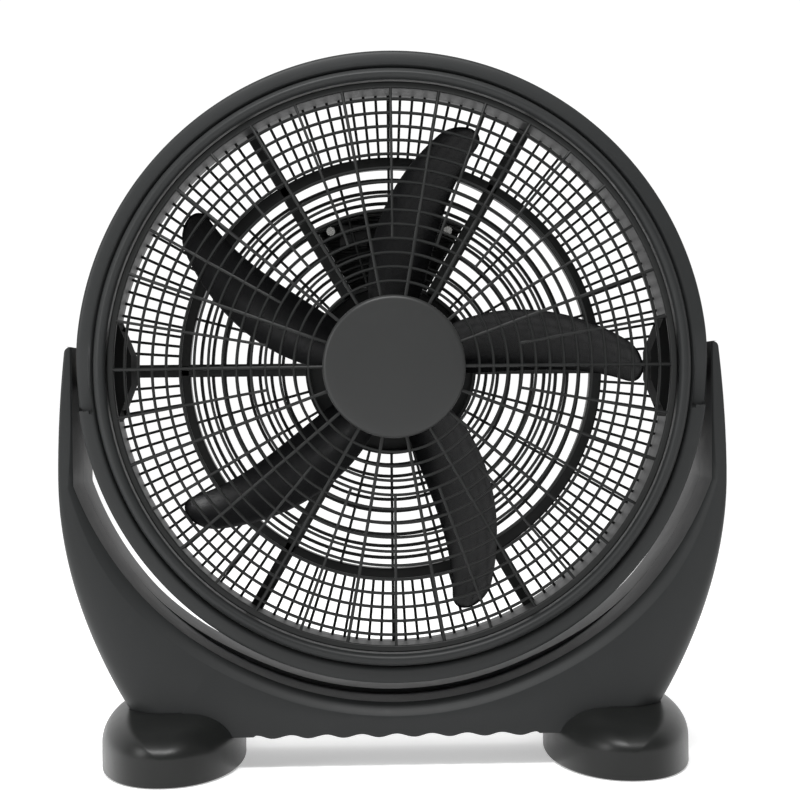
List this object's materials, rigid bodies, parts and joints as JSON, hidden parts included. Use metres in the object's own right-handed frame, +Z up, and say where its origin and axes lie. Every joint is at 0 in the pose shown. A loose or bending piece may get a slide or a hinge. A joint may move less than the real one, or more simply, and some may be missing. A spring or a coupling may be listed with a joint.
{
  "type": "tilting floor fan",
  "caption": "Round floor fan in a U-shaped stand: the ducted head tilts, swept blades turn behind a domed guard, and a rear knob sets the speed.",
  "frame": {"origin": "on the floor, under the middle of the fan", "axes": "+Z up, -Y is the side the air blows out of, X runs along the tilt axis"},
  "size_m": [0.596, 0.25, 0.638],
  "materials": {
    "charcoal_plastic": "fine-grained satin moulded plastic",
    "cap_plastic": "smooth satin moulded plastic",
    "blade_plastic": "polished black moulded plastic",
    "soft_rubber": "matt rubber",
    "plated_steel": "zinc-plated steel",
    "black_steel": "black-coated screws",
    "motor_case": "grey-painted pressed steel",
    "core_steel": "stacked steel laminations",
    "winding_copper": "enamelled copper wire",
    "rotor_metal": "cast aluminium and steel",
    "washer_nylon": "natural nylon",
    "part_black": "black moulded part",
    "part_white": "white moulded part"
  },
  "bodies": {
    "stand": {"stand_front_shell": "charcoal_plastic", "stand_rear_shell": "charcoal_plastic", "stand_screws": "black_steel", "left_foot": "charcoal_plastic", "right_foot": "charcoal_plastic", "foot_screws": "black_steel", "rubber_pads": "soft_rubber", "left_pivot_bolt": "plated_steel", "right_pivot_bolt": "plated_steel", "pivot_nuts": "plated_steel", "friction_washers": "washer_nylon", "spring_washers": "plated_steel"},
    "head": {"capacitor": "part_black", "control_box": "charcoal_plastic", "control_screws": "plated_steel", "cord_gland": "part_black", "drum_shell": "charcoal_plastic", "duct_ring": "charcoal_plastic", "front_bearing": "plated_steel", "front_grille": "charcoal_plastic", "hub_cap": "cap_plastic", "left_pivot_housing": "charcoal_plastic", "motor_bolts": "plated_steel", "motor_front_bell": "motor_case", "motor_mount_screws": "plated_steel", "motor_rear_bell": "motor_case", "pivot_sleeves": "washer_nylon", "rear_bearing": "plated_steel", "rear_grille": "charcoal_plastic", "rear_trim_ring": "charcoal_plastic", "right_pivot_housing": "charcoal_plastic", "speed_switch": "part_black", "stator_core": "core_steel", "stator_windings": "winding_copper", "terminal_block": "part_white", "trim_ring_screws": "black_steel"},
    "rotor": {"blade_wheel": "blade_plastic", "blade_nut": "blade_plastic", "motor_shaft": "plated_steel", "rotor_core": "rotor_metal"},
    "knob": {"speed_knob": "part_black", "switch_shaft": "part_white"}
  },
  "joints": [
    {"name": "head_tilt", "type": "hinge", "parent": "stand", "child": "head", "pos_m": [0, 0, 0.358], "axis": [-1, 0, 0], "range_deg": [-20, 90]},
    {"name": "blade_spin", "type": "hinge", "parent": "head", "child": "rotor", "pos_m": [0, -0.025, 0.358], "axis": [0, 1, 0], "continuous": true},
    {"name": "speed_turn", "type": "hinge", "parent": "head", "child": "knob", "pos_m": [0, 0.09, 0.4745], "axis": [0, 1, 0], "range_deg": [0, 135]}
  ]
}
